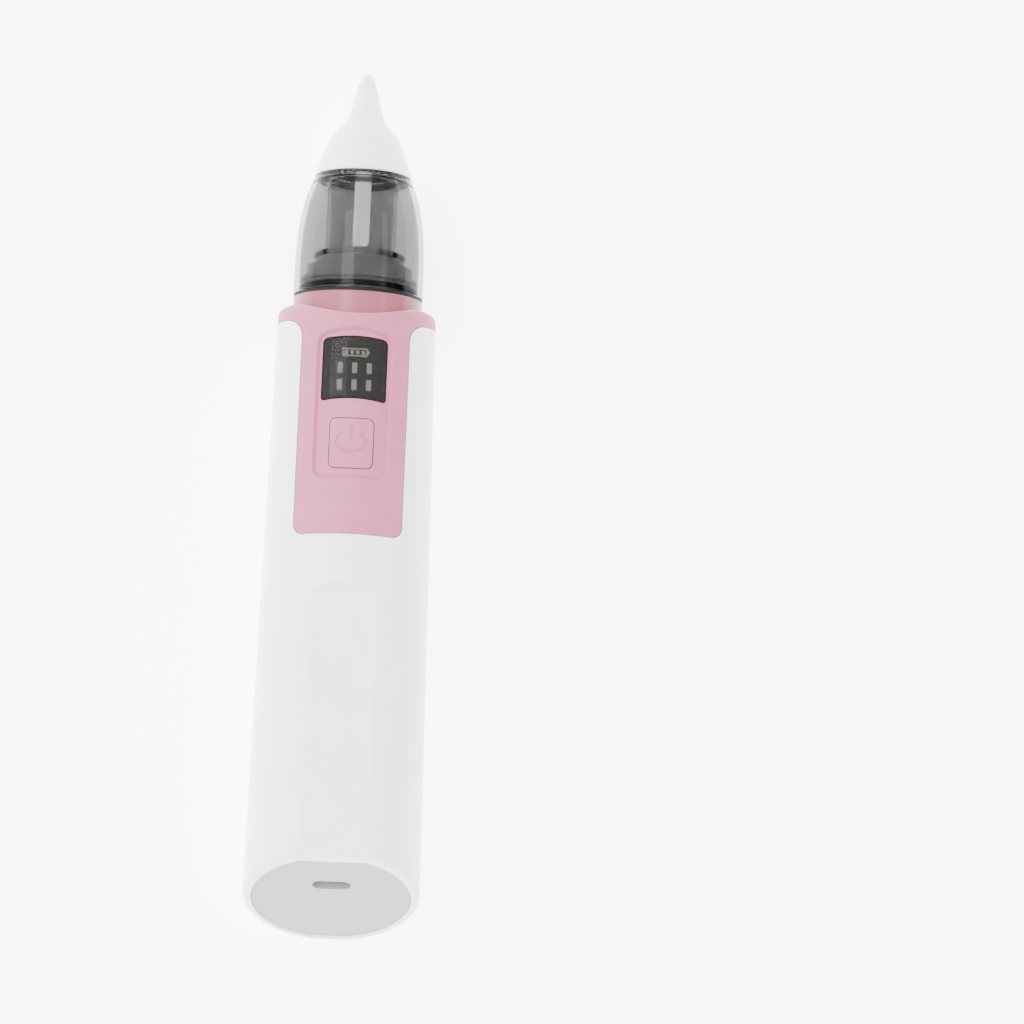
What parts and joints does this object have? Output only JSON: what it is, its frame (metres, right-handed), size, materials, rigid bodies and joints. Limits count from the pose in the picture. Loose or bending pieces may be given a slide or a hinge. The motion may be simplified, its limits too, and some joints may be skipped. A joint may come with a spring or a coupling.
{
  "type": "nasal aspirator",
  "caption": "Battery nasal aspirator: slanted-end handle with display and power button, clear collecting cup and soft tapered nozzle.",
  "frame": {"origin": "under the middle of the aspirator, on the flat of its back that it lies on", "axes": "+Y along the handle towards the nozzle tip, +Z out of the button side, +X across the handle"},
  "size_m": [0.0418, 0.2082, 0.0327],
  "materials": {
    "white_plastic": "fine satin moulding",
    "label_plate": "fine matte",
    "soft_pink": "soft-touch matte",
    "gloss_pink": "high gloss",
    "smoked_lens": "polished, smoked",
    "light_guide": "translucent diffuser",
    "black_plastic": "matte",
    "smoky_clear": "polished clear smoky plastic",
    "smoky_dark": "polished dark smoky plastic",
    "smoky_mid": "polished, lightly smoked",
    "frosted_clear": "lightly frosted",
    "silicone_white": "matte translucent silicone",
    "black_rubber": "matte",
    "board_green": "solder mask",
    "steel": "plated",
    "brass": "machined",
    "magnet_grey": "sintered",
    "cell_blue": "shrink sleeve",
    "foam_black": "open foam",
    "wire_red": "insulated wire"
  },
  "bodies": {
    "handle": {"housing_sleeve": "white_plastic", "base_plate": "label_plate", "front_cover": "soft_pink", "display_lens": "smoked_lens", "display_marks": "light_guide", "display_module": "black_plastic", "display_leds": "white_plastic", "button_gasket": "silicone_white", "switch_body": "black_plastic", "main_board": "board_green", "board_chips": "black_plastic", "cover_screws": "steel", "neck_collar": "gloss_pink", "neck_gasket": "black_rubber", "suction_hose": "silicone_white", "pump_head": "black_plastic", "valve_plate": "white_plastic", "pump_diaphragm": "black_rubber", "pump_body": "black_plastic", "motor_can": "steel", "motor_magnets": "magnet_grey", "motor_end_cap": "black_plastic", "motor_terminals": "brass", "motor_dampers": "black_rubber", "chassis": "white_plastic", "battery_cell": "steel", "battery_sleeve": "cell_blue", "battery_pads": "foam_black", "battery_tabs": "steel", "battery_leads": "wire_red", "usb_receptacle": "steel", "usb_tongue": "black_plastic", "usb_board": "board_green"},
    "power_button": {"button_cap": "soft_pink", "switch_plunger": "black_plastic"},
    "motor_drive": {"motor_shaft": "steel", "motor_rotor": "brass", "pump_crank": "white_plastic"},
    "cup_foot": {"cup_base": "smoky_dark", "cup_o_ring": "black_rubber", "float_disc": "smoky_clear", "separator_tube": "smoky_mid"},
    "cup": {"collection_cup": "smoky_clear", "cup_top": "smoky_clear", "nozzle_seat_ring": "smoky_dark", "inlet_tube": "frosted_clear"},
    "nozzle_tip": {"nozzle": "silicone_white"}
  },
  "joints": [
    {"name": "button_press", "type": "slide", "parent": "handle", "child": "power_button", "axis": [0, 0, -1], "range_m": [0, 0.0008], "stiffness_N_per_m": 1500, "springref_m": -0.0003},
    {"name": "motor_spin", "type": "hinge", "parent": "handle", "child": "motor_drive", "pos_m": [0, 0, 0.01325], "axis": [0, 1, 0], "continuous": true},
    {"name": "cup_foot_pull", "type": "slide", "parent": "handle", "child": "cup_foot", "axis": [0, 1, 0], "range_m": [0, 0.02]},
    {"name": "cup_pull", "type": "slide", "parent": "cup_foot", "child": "cup", "axis": [0, 1, 0], "range_m": [0, 0.035]},
    {"name": "nozzle_pull", "type": "slide", "parent": "cup", "child": "nozzle_tip", "axis": [0, 1, 0], "range_m": [0, 0.02]}
  ]
}
